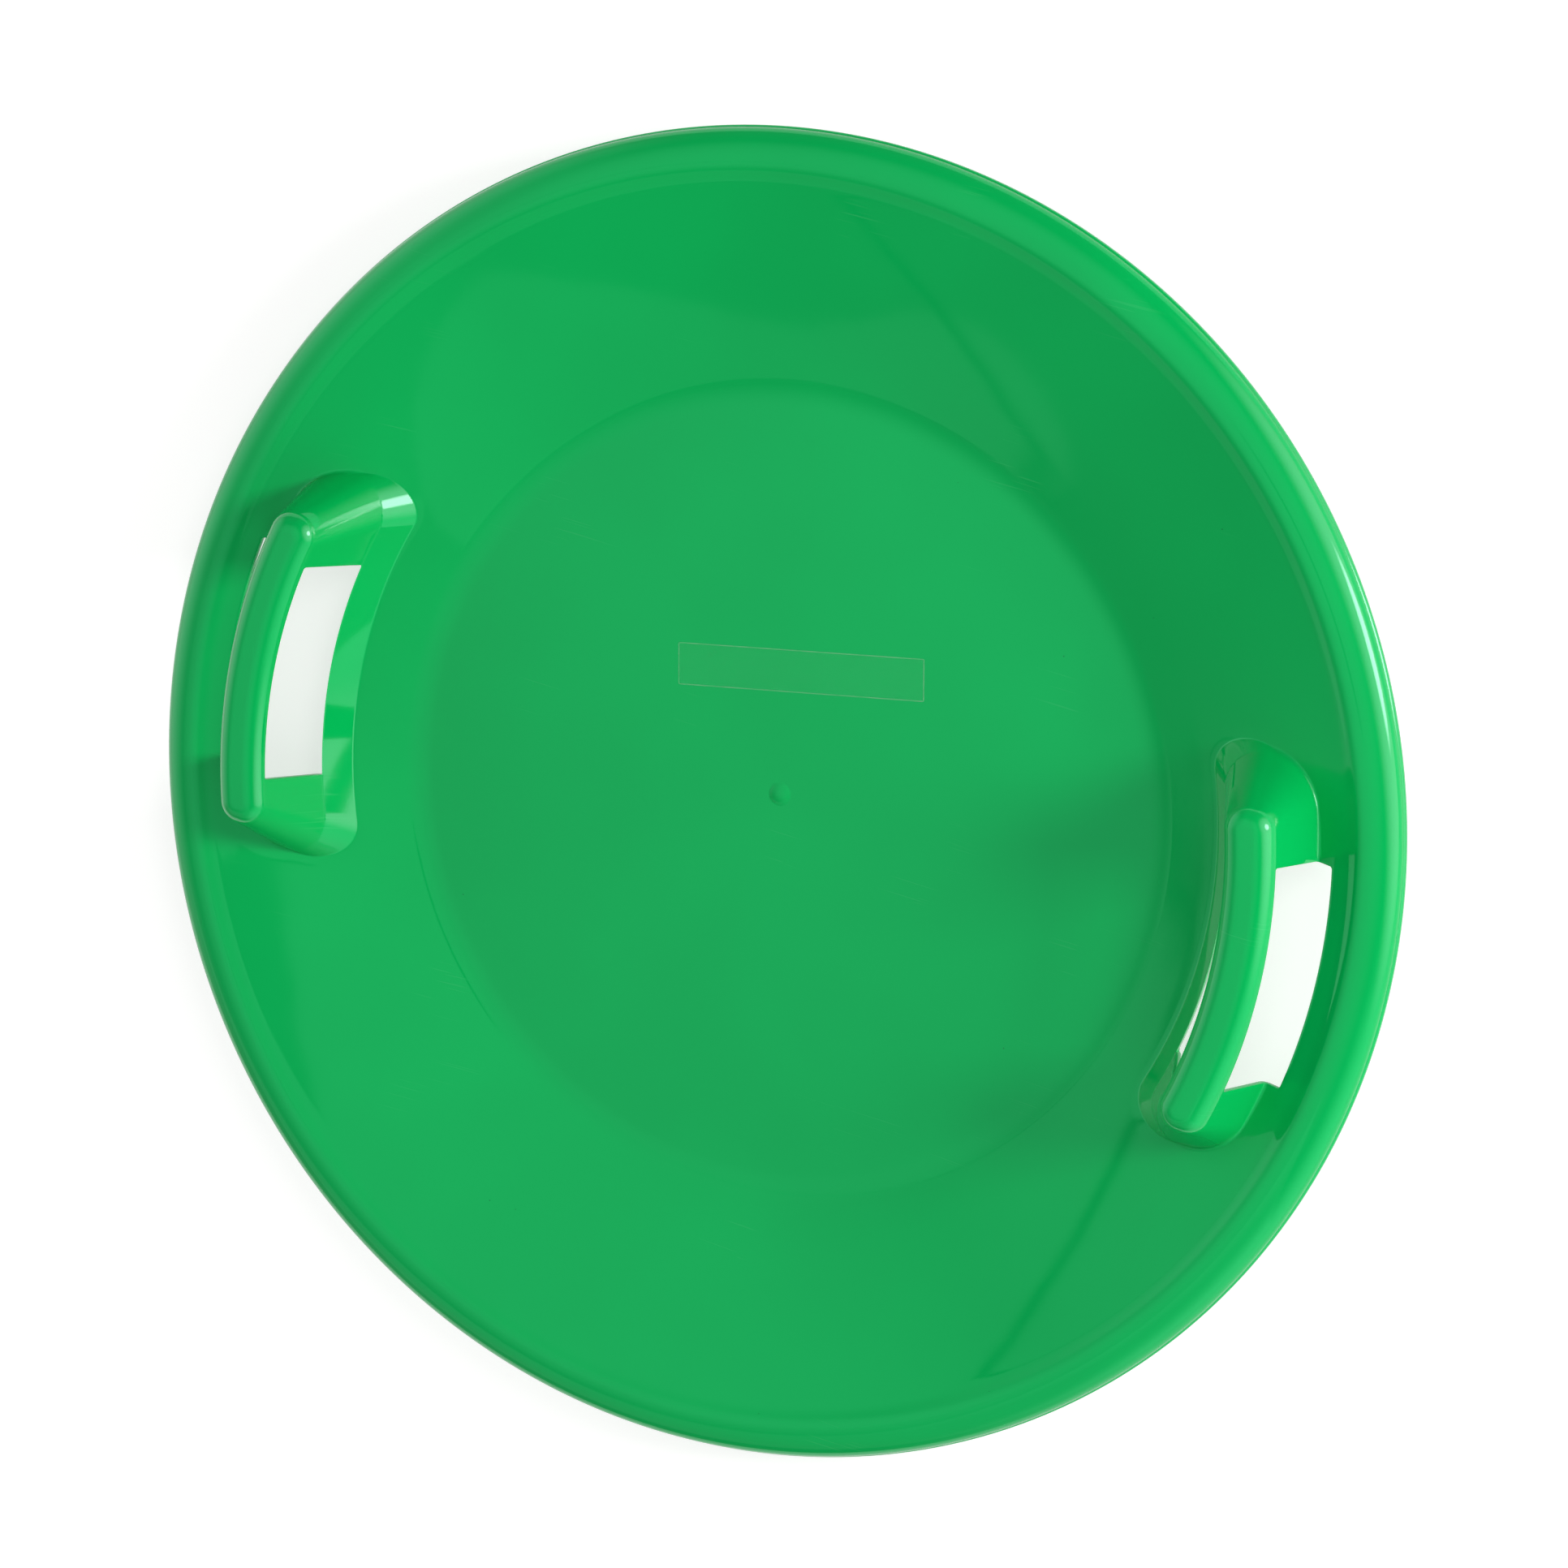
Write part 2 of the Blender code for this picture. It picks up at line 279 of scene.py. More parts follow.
class SledFinish(bpy.types.PropertyGroup):
    """Colours and gloss"""

    green: FloatVectorProperty(
        name="Green", description="Colour of the moulded plastic",
        default=(0.001, 0.410, 0.083), size=3, min=0.0, max=1.0, subtype="COLOR")
    scuff: FloatVectorProperty(
        name="Scuff", description="Colour of the plastic along a fine scratch",
        default=(0.030, 0.470, 0.130), size=3, min=0.0, max=1.0, subtype="COLOR")
    speck: FloatVectorProperty(
        name="Speck", description="Colour of the dust specks moulded in",
        default=(0.002, 0.120, 0.030), size=3, min=0.0, max=1.0, subtype="COLOR")
    gloss_tint: FloatVectorProperty(
        name="Gloss Tint", description="Tint of what the plastic mirrors when seen from above",
        default=(0.20, 1.0, 0.56), size=3, min=0.0, max=1.0, subtype="COLOR")
    gloss: FloatProperty(
        name="Gloss", description="How strongly the plastic mirrors",
        default=0.8, min=0.0, max=1.0, subtype="FACTOR")
    roughness: FloatProperty(
        name="Roughness", description="Roughness of the moulded surface",
        default=0.035, min=0.0, max=1.0, subtype="FACTOR")
    film: FloatVectorProperty(
        name="Film", description="Colour of the film label",
        default=(0.40, 0.78, 0.50), size=3, min=0.0, max=1.0, subtype="COLOR")
    film_haze: FloatProperty(
        name="Film Haze", description="How much of the plastic the clear film hides",
        default=0.012, min=0.0, max=1.0, subtype="FACTOR")
    film_edge_haze: FloatProperty(
        name="Film Edge Haze", description="How much of the plastic the film's cut edge hides",
        default=0.16, min=0.0, max=1.0, subtype="FACTOR")


class StageLook(bpy.types.PropertyGroup):
    """The lamps, the room's light and the floor's glow"""

    key_power: FloatProperty(
        name="Key Power", description="Power of the tall lamp at the side",
        default=67.0, unit="POWER")
    key_azimuth: FloatProperty(
        name="Key Azimuth", description="Direction of the tall lamp, from the first grip",
        default=math.radians(24.0), subtype="ANGLE")
    key_elevation: FloatProperty(
        name="Key Elevation", description="Height of the tall lamp over the horizon",
        default=math.radians(20.6), subtype="ANGLE")
    upper_power: FloatProperty(
        name="Upper Power", description="Power of the lamp above the tall one",
        default=13.0, unit="POWER")
    upper_azimuth: FloatProperty(
        name="Upper Azimuth", description="Direction of the upper lamp, from the first grip",
        default=math.radians(46.0), subtype="ANGLE")
    upper_elevation: FloatProperty(
        name="Upper Elevation", description="Height of the upper lamp over the horizon",
        default=math.radians(50.0), subtype="ANGLE")
    room_light: FloatProperty(
        name="Room Light", description="Strength of the light from all round", default=0.325)
    floor_glow: FloatProperty(
        name="Floor Glow", description="Strength that makes the floor look white", default=0.64)


def sizes():
    return bpy.context.scene.sled_sizes


def grip():
    return bpy.context.scene.sled_grip


def floor_top():
    return sizes().wall


def lip_foot():
    return sizes().rim_radius - sizes().lip_width


def floor_radius():
    return lip_foot() - sizes().side_width


def skirt_radius():
    return sizes().rim_radius - sizes().hem_out


def crest_radius():
    return sizes().rim_radius - sizes().crest_inset


def side_height(radius):
    """Height of the sloping side's top face over the floor's, before the blends."""
    return (radius - floor_radius()) * math.tan(sizes().side_slope)


def side_place(radius, inset):
    """World height of the side's top face, or of the face this far below it."""
    return floor_top() + side_height(radius) - inset / math.cos(sizes().side_slope)


def blend(corner_radius, corner_height, slope_in, slope_out, radius, steps):
    """Points (r, height, slope) of the arc that rounds a corner curving upwards."""
    reach = radius * math.tan((slope_out - slope_in) / 2.0)
    start_r = corner_radius - reach * math.cos(slope_in)
    start_h = corner_height - reach * math.sin(slope_in)
    centre_r = start_r - radius * math.sin(slope_in)
    centre_h = start_h + radius * math.cos(slope_in)
    points = []
    for step in range(steps + 1):
        slope = slope_in + (slope_out - slope_in) * step / steps
        points.append((centre_r + radius * math.sin(slope),
                       centre_h - radius * math.cos(slope), slope))
    return points


def crest_height():
    """Height of the lip's top over the floor, with the lip's inner face tangent to it."""
    s = sizes()
    tangent_radius = crest_radius() - s.crest_round * math.sin(s.lip_slope)
    rise = (tangent_radius - lip_foot()) * math.tan(s.lip_slope)
    return side_height(lip_foot()) + rise + s.crest_round * (1.0 - math.cos(s.lip_slope))


def floor_edge():
    """Top face where the floor turns up into the side, as (r, height, slope)."""
    s = sizes()
    return blend(floor_radius(), 0, 0, s.side_slope, s.floor_blend, FLOOR_BLEND_STEPS)


def lip_face():
    """Top face from the foot of the lip over its crest to the skirt, as (r, height, slope)."""
    s = sizes()
    points = blend(lip_foot(), side_height(lip_foot()), s.side_slope, s.lip_slope,
                   s.lip_blend, LIP_BLEND_STEPS)
    crest = crest_height()
    for step in range(CREST_STEPS):
        slope = s.lip_slope * (1.0 - step / CREST_STEPS)
        points.append((crest_radius() - s.crest_round * math.sin(slope),
                       crest - s.crest_round * (1.0 - math.cos(slope)), slope))
    width = skirt_radius() - crest_radius()
    for step in range(ROLL_STEPS + 1):
        angle = QUARTER_TURN * step / ROLL_STEPS
        across, down = width * math.sin(angle), s.crest_drop * (1.0 - math.cos(angle))
        slope = -math.atan2(s.crest_drop * math.sin(angle), width * math.cos(angle))
        points.append((crest_radius() + across, crest - down, slope))
    return points


def offset_down(point, distance):
    """The point this far below a point of the top face, square to the face."""
    radius, height, slope = point
    return (radius + distance * math.sin(slope), height - distance * math.cos(slope))


def gate_profile():
    """The low dome left by the moulding gate, from its top to its edge."""
    s = sizes()
    sphere = (s.gate_radius ** 2 + s.gate_height ** 2) / (2.0 * s.gate_height)
    half_angle = math.asin(s.gate_radius / sphere)
    points = []
    for step in range(GATE_STEPS + 1):
        angle = half_angle * step / GATE_STEPS
        points.append((sphere * math.sin(angle),
                       s.gate_height - sphere + sphere * math.cos(angle)))
    return points


def window_radii():
    """The dish's rings across each handle's window, within the straight part of the side."""
    outer = lip_foot() - grip().collar
    inner = floor_radius() + WINDOW_START * sizes().side_width
    return [inner + (outer - inner) * cell / WINDOW_CELLS for cell in range(WINDOW_CELLS + 1)]


def hem_profile():
    """The hem, from the foot of the skirt out, down and in, over the floor's top."""
    s = sizes()
    low = crest_height() - s.crest_drop - s.skirt_drop
    return [(skirt_radius(), low + s.hem_height + s.hem_out), (s.rim_radius, low + s.hem_height),
            (s.rim_radius, low), (skirt_radius() - s.wall, low)]


def dish_profile():
    """The dish's whole section from the axis out over the top and back underneath."""
    s = sizes()
    edge = floor_edge()
    lip = lip_face()
    gate = gate_profile()
    across = [(radius, side_height(radius)) for radius in window_radii()]
    first = s.gate_radius + s.gate_foot
    flat = [(first + (edge[0][0] - first) * ring / FLOOR_RINGS, 0)
            for ring in range(FLOOR_RINGS)]
    above = gate + flat + [point[:2] for point in edge] + across
    above += [point[:2] for point in lip] + hem_profile()
    drop = s.wall / math.cos(s.side_slope)
    below = [offset_down(point, s.wall) for point in reversed(lip)]
    below += [(radius, height - drop) for radius, height in reversed(across)]
    below += [offset_down(point, s.wall) for point in reversed(edge)]
    below += [(edge[0][0] * ring / UNDER_RINGS, -s.wall) for ring in reversed(range(UNDER_RINGS))]
    return [(radius, height + floor_top()) for radius, height in above + below]


def spin_dish():
    """Turn the section about the axis into one closed skin."""
    bm = bmesh.new()
    verts = [bm.verts.new((radius, 0, z)) for radius, z in dish_profile()]
    edges = [bm.edges.new(pair) for pair in zip(verts, verts[1:])]
    bmesh.ops.spin(bm, geom=verts + edges, cent=(0, 0, 0), axis=(0, 0, 1),
                   angle=FULL_TURN, steps=TURNS, use_merge=True)
    bmesh.ops.remove_doubles(bm, verts=bm.verts, dist=MERGE)
    bmesh.ops.recalc_face_normals(bm, faces=bm.faces)
    round_edges(bm, hem_edges(bm), sizes().hem_edge, HEM_SEGMENTS)
    return bm


def hem_edges(bm):
    """The rings of edges along the hem's corners."""
    corners = [Vector((radius, height + floor_top())) for radius, height in hem_profile()[1:]]
    ring_of = {}
    for vert in bm.verts:
        place = Vector((math.hypot(vert.co.x, vert.co.y), vert.co.z))
        for ring, corner in enumerate(corners):
            if (place - corner).length < SEAM_MERGE:
                ring_of[vert] = ring
    return [edge for edge in bm.edges if edge.verts[0] in ring_of
            and ring_of[edge.verts[0]] == ring_of.get(edge.verts[1])]


def round_edges(bm, edges, radius, segments):
    bmesh.ops.bevel(bm, geom=edges, offset=radius, offset_type="OFFSET", segments=segments,
                    profile=0.5, affect="EDGES", material=-1)


def cut_windows(bm):
    """Open the side, top and bottom, where the handles will stand."""
    radii = window_radii()
    limit = math.tan(math.radians(WINDOW_DEGREES))
    inside = []
    for face in bm.faces:
        middle = face.calc_center_median()
        radius = math.hypot(middle.x, middle.y)
        if radii[0] < radius < radii[-1] and abs(middle.y) < abs(middle.x) * limit:
            inside.append(face)
    bmesh.ops.delete(bm, geom=inside, context="FACES")


def arc(radius, start, end, steps):
    """Points of an arc about the sled's centre, without its last."""
    angles = [start + (end - start) * step / steps for step in range(steps)]
    return [(radius * math.cos(angle), radius * math.sin(angle)) for angle in angles]


def corner_arc(centre_radius, centre_y, corner, start, end):
    """Points of a corner whose centre lies on centre_radius, without the last."""
    centre_x = math.sqrt(centre_radius ** 2 - centre_y ** 2)
    return [(centre_x + x, centre_y + y) for x, y in arc(corner, start, end, CORNER_STEPS)]


def straight(start, end, steps):
    """Points from start towards end, without the last."""
    return [(start[0] + (end[0] - start[0]) * step / steps,
             start[1] + (end[1] - start[1]) * step / steps) for step in range(steps)]


def band_outline(inner, outer, half_length, inner_corner, outer_corner):
    """Closed outline of a band that curves about the centre, at +X. One column
    stands at each end of each slot, so that a slot's end is a straight cut."""
    slot = grip().slot_half_length
    inner_centre, outer_centre = inner + inner_corner, outer - outer_corner
    inner_turn = math.asin((half_length - inner_corner) / inner_centre)
    outer_turn = math.asin((half_length - outer_corner) / outer_centre)
    inner_slot, outer_slot = math.asin(slot / inner), math.asin(slot / outer)
    upper = arc(outer, outer_slot, outer_turn, BESIDE_STEPS)
    upper += corner_arc(outer_centre, half_length - outer_corner, outer_corner,
                        outer_turn, QUARTER_TURN)
    outer_x = outer_centre * math.cos(outer_turn)
    inner_x = inner_centre * math.cos(inner_turn)
    upper += straight((outer_x, half_length), (inner_x, half_length), END_STEPS)
    upper += corner_arc(inner_centre, half_length - inner_corner, inner_corner,
                        QUARTER_TURN, math.pi + inner_turn)
    upper += arc(inner, inner_turn, inner_slot, BESIDE_STEPS)
    upper += arc(inner, inner_slot, -inner_slot, SLOT_STEPS)[:1]
    lower = [(x, -y) for x, y in reversed(upper)]
    return (arc(outer, -outer_slot, outer_slot, SLOT_STEPS) + upper
            + arc(inner, inner_slot, -inner_slot, SLOT_STEPS)[1:] + lower[:-1])


def window_outline():
    """The window's border, with as many columns as a band's outline."""
    radii = window_radii()
    limit = math.radians(WINDOW_DEGREES)
    slot = math.radians(SLOT_STEPS / 2.0)
    rest = WINDOW_DEGREES - SLOT_STEPS // 2
    outline = arc(radii[-1], -slot, slot, SLOT_STEPS) + arc(radii[-1], slot, limit, rest)
    outline += [(radius * math.cos(limit), radius * math.sin(limit)) for radius in radii[:0:-1]]
    outline += arc(radii[0], limit, -limit, 2 * WINDOW_DEGREES)
    outline += [(radius * math.cos(limit), -radius * math.sin(limit)) for radius in radii[:-1]]
    return outline + arc(radii[-1], -limit, -slot, rest)


def grip_inner():
    return sizes().rim_radius - grip().inset - grip().width / 2.0


def grip_outer():
    return sizes().rim_radius - grip().inset + grip().width / 2.0


def slot_outer():
    return grip_outer() + grip().outboard_gap


def slot_inner():
    return grip_inner() - grip().inboard_gap


def mound_section(z, inset):
    """Outline of the mound at this height, this far inside its leaning faces."""
    g = grip()
    drop = floor_top() + g.edge - z
    strip_drop = max(0, floor_top() + g.strip_height - z)
    inner = grip_inner() + inset - (drop - strip_drop) * math.tan(g.inboard_lean)
    inner -= strip_drop * math.tan(g.strip_lean)
    outer = grip_outer() - inset + drop * math.tan(g.outboard_lean)
    half_length = g.half_length - inset + drop * math.tan(g.end_lean)
    corners = [g.corner - inset + max(0, drop) * share
               for share in (g.inner_corner_share, g.outer_corner_share)]
    return band_outline(inner, outer, half_length, *corners)


def mound_point(column, z, inset):
    x, y = mound_section(z, inset)[column]
    return Vector((x, y, z))


def foot_point(column, inset):
    """Where a column of the mound meets the side, found by stepping between the two."""
    z = floor_top()
    for _ in range(FOOT_TRIES):
        point = mound_point(column, z, inset)
        z = side_place(math.hypot(point.x, point.y), inset)
    return point


def on_side(point, inset):
    x, y = point
    return Vector((x, y, side_place(math.hypot(x, y), inset)))


def collar_outline():
    """The ring of the dish round a handle's foot. Its outer run is the slot's edge."""
    g = grip()
    low = side_place(slot_inner(), 0)
    drop = floor_top() + g.edge - low
    half_length = g.half_length + drop * math.tan(g.end_lean) + g.collar
    inner_corner = g.corner + drop * g.inner_corner_share + g.collar / 2.0
    outer_corner = g.corner + drop * g.outer_corner_share * COLLAR_OUTBOARD
    return band_outline(slot_inner() - COLLAR_INBOARD * g.collar, slot_outer(), half_length,
                        inner_corner, outer_corner)


def foot_arc(column, inset, outward):
    """A column's rounded foot, from the side up into the mound's face."""
    g = grip()
    corner = foot_point(column, inset)
    up = mound_point(column, corner.z + g.crease, inset) - corner
    along = outward - corner
    up.normalize()
    along.normalize()
    turn = up.angle(-along)
    reach = (g.foot_fillet + inset) * math.tan(turn / 2.0)
    start, end = corner + along * reach, corner + up * reach
    points = []
    for step in range(FOOT_STEPS + 1):
        share = step / FOOT_STEPS
        first, last = start.lerp(corner, share), corner.lerp(end, share)
        points.append(first.lerp(last, share))
    return points


def slot_level(inset):
    """Height at which the lower strip's face crosses the slot's inboard edge."""
    g = grip()
    strip_z = floor_top() + g.strip_height
    if not inset:
        return strip_z
    inner = grip_inner() + inset - (g.edge - g.strip_height) * math.tan(g.inboard_lean)
    return strip_z - (inner - slot_inner()) / math.tan(g.strip_lean)


def handle_columns(inset):
    """Each column of a handle's skin, from the dish up to the last ring of its top."""
    g = grip()
    border, collar = window_outline(), collar_outline()
    strip_z, edge_z = floor_top() + g.strip_height, floor_top() + g.edge
    top_z = floor_top() + g.top
    shoulder = top_z - g.rounding * (1.0 - math.sin(g.inboard_lean))
    rounding = g.rounding - inset
    slot_z = slot_level(inset)
    above_slot = strip_z if inset else strip_z + g.crease
    caps = []
    for step in range(ROUNDING_STEPS + 1):
        angle = g.inboard_lean + (QUARTER_TURN - g.inboard_lean) * step / ROUNDING_STEPS
        in_by = inset + rounding * (math.cos(g.inboard_lean) - math.cos(angle))
        z = shoulder + rounding * (math.sin(angle) - math.sin(g.inboard_lean))
        caps.append([Vector((x, y, z)) for x, y in mound_section(shoulder, in_by)])
    columns = []
    for column, (outside, near) in enumerate(zip(border, collar)):
        flat = [Vector(outside).lerp(Vector(near), ring / (COLLAR_RINGS + 1))
                for ring in range(COLLAR_RINGS + 2)]
        points = [on_side(place, inset) for place in flat]
        points += foot_arc(column, inset, points[-1])
        start = points[-1].z
        levels = [max(level, start + g.crease * (index + 1))
                  for index, level in enumerate((slot_z - g.crease, slot_z, above_slot))]
        levels += [levels[-1] + (edge_z - levels[-1]) * step / WALL_STEPS
                   for step in range(1, WALL_STEPS + 1)]
        points += [mound_point(column, z, inset) for z in levels]
        points += [cap[column] for cap in caps]
        columns.append(points)
    return columns


# Rings counted from the window's border: the slot's edges lie on three of them
COLLAR_RING = COLLAR_RINGS + 1
STRIP_RING = COLLAR_RING + FOOT_STEPS + 3
EDGE_RING = STRIP_RING + 1 + WALL_STEPS


def ring_loop(bm, points):
    verts = [bm.verts.new(point) for point in points]
    return [bm.edges.new(pair) for pair in zip(verts, verts[1:] + verts[:1])]


def skin_handle(bm, inset):
    """One skin of a handle at +X, open where its two slots are."""
    rings = [ring_loop(bm, points) for points in zip(*handle_columns(inset))]
    slot = grip().slot_half_length
    middle = (grip_inner() + grip_outer()) / 2.0
    opened = []
    for index, (lower, upper) in enumerate(zip(rings, rings[1:])):
        made = bmesh.ops.bridge_loops(bm, edges=lower + upper)["faces"]
        for face in made:
            place = face.calc_center_median()
            first = STRIP_RING if math.hypot(place.x, place.y) < middle else COLLAR_RING
            if abs(place.y) < slot and first <= index < EDGE_RING:
                opened.append(face)
    cap = bmesh.ops.contextual_create(bm, geom=rings[-1])["faces"]
    bmesh.ops.inset_region(bm, faces=cap, thickness=grip().crease, use_even_offset=True)
    bmesh.ops.delete(bm, geom=opened, context="FACES")


def slot_loops(bm):
    """The open edges of both skins, sorted by slot."""
    middle = (grip_inner() + grip_outer()) / 2.0
    near = window_radii()
    loops = {"inboard": [], "outboard": []}
    for edge in bm.edges:
        if not edge.is_boundary:
            continue
        place = (edge.verts[0].co + edge.verts[1].co) / 2.0
        if abs(place.y) > grip().slot_half_length + MERGE:
            continue
        radius = math.hypot(place.x, place.y)
        if near[0] + grip().collar < radius < near[-1] - BORDER_MARGIN:
            loops["inboard" if radius < middle else "outboard"].append(edge)
    return loops


def make_handle():
    """A hollow handle at +X: two skins joined through its two slots."""
    bm = bmesh.new()
    skin_handle(bm, 0)
    skin_handle(bm, sizes().wall)
    walls = set()
    for edges in slot_loops(bm).values():
        walls.update(bmesh.ops.bridge_loops(bm, edges=edges)["faces"])
    bmesh.ops.recalc_face_normals(bm, faces=bm.faces)
    corners = [edge for edge in sharp_edges(bm) if walls.issuperset(edge.link_faces)]
    round_edges(bm, corners, grip().slot_corner, CORNER_SEGMENTS)
    round_edges(bm, sharp_edges(bm), grip().slot_edge, EDGE_SEGMENTS)
    return bm


def sharp_edges(bm):
    return [edge for edge in bm.edges if edge.is_manifold and edge.calc_face_angle() > SHARP]


def add_handles(bm):
    """Set a handle in each window and close the seams."""
    made = make_handle()
    mesh = bpy.data.meshes.new("handle")
    made.to_mesh(mesh)
    made.free()
    for _ in range(HANDLE_COUNT):
        bm.from_mesh(mesh)
        mesh.transform(Matrix.Rotation(FULL_TURN / HANDLE_COUNT, 4, "Z"))
    bpy.data.meshes.remove(mesh)
    rim = [vert for vert in bm.verts if vert.is_boundary]
    bmesh.ops.remove_doubles(bm, verts=rim, dist=SEAM_MERGE)
    bmesh.ops.recalc_face_normals(bm, faces=bm.faces)


def to_object(name, bm):
    mesh = bpy.data.meshes.new(name)
    bm.to_mesh(mesh)
    bm.free()
    item = bpy.data.objects.new(name, mesh)
    bpy.context.scene.collection.objects.link(item)
    return item


def add_node(material, kind, settings=(), **inputs):
    """A node with these settings, and its sockets set to numbers or linked to outputs.
    An input is given by name, or by an underscore and its number."""
    node = material.node_tree.nodes.new(kind)
    for name, value in dict(settings).items():
        setattr(node, name, value)
    for name, value in inputs.items():
        key = int(name[1:]) if name[1:].isdigit() else name.replace("_", " ")
        socket = node.inputs[key]
        if isinstance(value, bpy.types.NodeSocket):
            material.node_tree.links.new(value, socket)
        else:
            socket.default_value = value
    return node


def new_material(name):
    """A material and its Principled BSDF."""
    material = bpy.data.materials.new(name)
    material.use_nodes = True
    return material, material.node_tree.nodes["Principled BSDF"]


def noise(material, coordinates, scale, detail=2.0):
    node = add_node(material, "ShaderNodeTexNoise", Vector=coordinates, Scale=scale, Detail=detail)
    return node.outputs["Fac"]


def remap(material, value, low, high, to_low=0.0, to_high=1.0):
    """The value taken smoothly from one range to another."""
    settings = {"interpolation_type": "SMOOTHSTEP"}
    node = add_node(material, "ShaderNodeMapRange", settings, _0=value, _1=low, _2=high,
                    _3=to_low, _4=to_high)
    return node.outputs["Result"]


def product(material, first, second):
    node = add_node(material, "ShaderNodeMath", {"operation": "MULTIPLY"}, _0=first, _1=second)
    return node.outputs["Value"]


def mix(material, share, first, second):
    node = add_node(material, "ShaderNodeMixRGB", Fac=share, Color1=first, Color2=second)
    return node.outputs["Color"]


# Fine scratches: the way they run, their scales along and across, and how many show
SCRATCHES = ((math.radians(63.0), 18.0, 900.0), (math.radians(-22.0), 14.0, 1100.0))
SCRATCH_PATCH_SCALE = 17.0
SCUFF_SHARE = 0.35
SCRATCH_DULLNESS = 0.12

# Dust specks: cells to a metre, and how dark they are
SPECK_SCALE = 70.0
SPECK_SHARE = 0.7

# Heights of the waves, of the skin's texture and of the scratches, in metres
WAVE_HEIGHT = 0.00002
SKIN_HEIGHT = 0.000001
GROOVE_DEPTH = 0.000008

# The film's ripples, in metres, and its finish
RIPPLE_HEIGHT = 0.00003
FILM_ROUGHNESS = 0.12
FILM_GLOSS = 0.2


def fine_scratches(material, coordinates, turn, along, across):
    """Hair-thin marks that all run one way, broken up so that few show."""
    turned = add_node(material, "ShaderNodeMapping", Vector=coordinates, Rotation=(0.0, 0.0, turn),
                      Scale=(along, across, along)).outputs["Vector"]
    hairs = remap(material, noise(material, turned, 1.0, 0.0), 0.755, 0.775)
    patches = remap(material, noise(material, coordinates, SCRATCH_PATCH_SCALE, 1.0), 0.60, 0.72)
    return product(material, hairs, patches)


def make_plastic():
    """Glossy, slightly waxy moulded plastic with fine scratches and a few dust specks."""
    finish = bpy.context.scene.sled_finish
    material, shader = new_material("green_plastic")
    place = add_node(material, "ShaderNodeTexCoord").outputs["Object"]
    scratches, crossing = [fine_scratches(material, place, *run) for run in SCRATCHES]
    worn = add_node(material, "ShaderNodeMath", {"operation": "MAXIMUM"}, _0=scratches, _1=crossing)
    scuffed = product(material, worn.outputs["Value"], SCUFF_SHARE)
    cells = add_node(material, "ShaderNodeTexVoronoi", Vector=place, Scale=SPECK_SCALE,
                     Randomness=1.0)
    chosen = add_node(material, "ShaderNodeSeparateColor", Color=cells.outputs["Color"])
    few = remap(material, chosen.outputs["Red"], 0.93, 0.95)
    dots = remap(material, cells.outputs["Distance"], 0.035, 0.020)
    specks = product(material, product(material, few, dots), SPECK_SHARE)

    shade = remap(material, noise(material, place, 9.0), 0.35, 0.65, 0.975, 1.02)
    green = add_node(material, "ShaderNodeHueSaturation", Value=shade, Color=(*finish.green, 1.0))
    colour = mix(material, scuffed, green.outputs["Color"], (*finish.scuff, 1.0))
    colour = mix(material, specks, colour, (*finish.speck, 1.0))
    material.node_tree.links.new(colour, shader.inputs["Base Color"])

    sheen = remap(material, noise(material, place, 30.0), 0.3, 0.7,
                  finish.roughness * 0.9, finish.roughness * 1.12)
    duller = add_node(material, "ShaderNodeMath", {"operation": "MULTIPLY_ADD"},
                      _0=worn.outputs["Value"], _1=SCRATCH_DULLNESS, _2=sheen)
    material.node_tree.links.new(duller.outputs["Value"], shader.inputs["Roughness"])

    waves = add_node(material, "ShaderNodeBump", Height=noise(material, place, 26.0, 1.0),
                     Strength=1.0, Distance=WAVE_HEIGHT)
    skin = add_node(material, "ShaderNodeBump", Height=noise(material, place, 700.0, 1.0),
                    Strength=1.0, Distance=SKIN_HEIGHT, Normal=waves.outputs["Normal"])
    grooves = add_node(material, "ShaderNodeBump", {"invert": True}, Height=worn.outputs["Value"],
                       Strength=1.0, Distance=GROOVE_DEPTH, Normal=skin.outputs["Normal"])
    material.node_tree.links.new(grooves.outputs["Normal"], shader.inputs["Normal"])
    shader.inputs["Specular IOR Level"].default_value = finish.gloss
    shader.inputs["Specular Tint"].default_value = (*finish.gloss_tint, 1.0)
    return material


class SLED_OT_shell(bpy.types.Operator):
    """Make the finished moulding: dish, lip and both handles"""

    bl_idname = "sled.shell"
    bl_label = "Shell"

    def execute(self, context):
        bm = spin_dish()
        cut_windows(bm)
        add_handles(bm)
        open_edges = [edge for edge in bm.edges if not edge.is_manifold]
        if open_edges:
            place = open_edges[0].verts[0].co
            raise RuntimeError(f"the shell has {len(open_edges)} open edges, as at {place}")
        shell = to_object("shell", bm)
        shell.data.shade_smooth()
        shell.data.set_sharp_from_angle(angle=CREASE)
        shell.data.materials.append(make_plastic())
        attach(shell, "root")
        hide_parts("sled_shell")
        return {"FINISHED"}


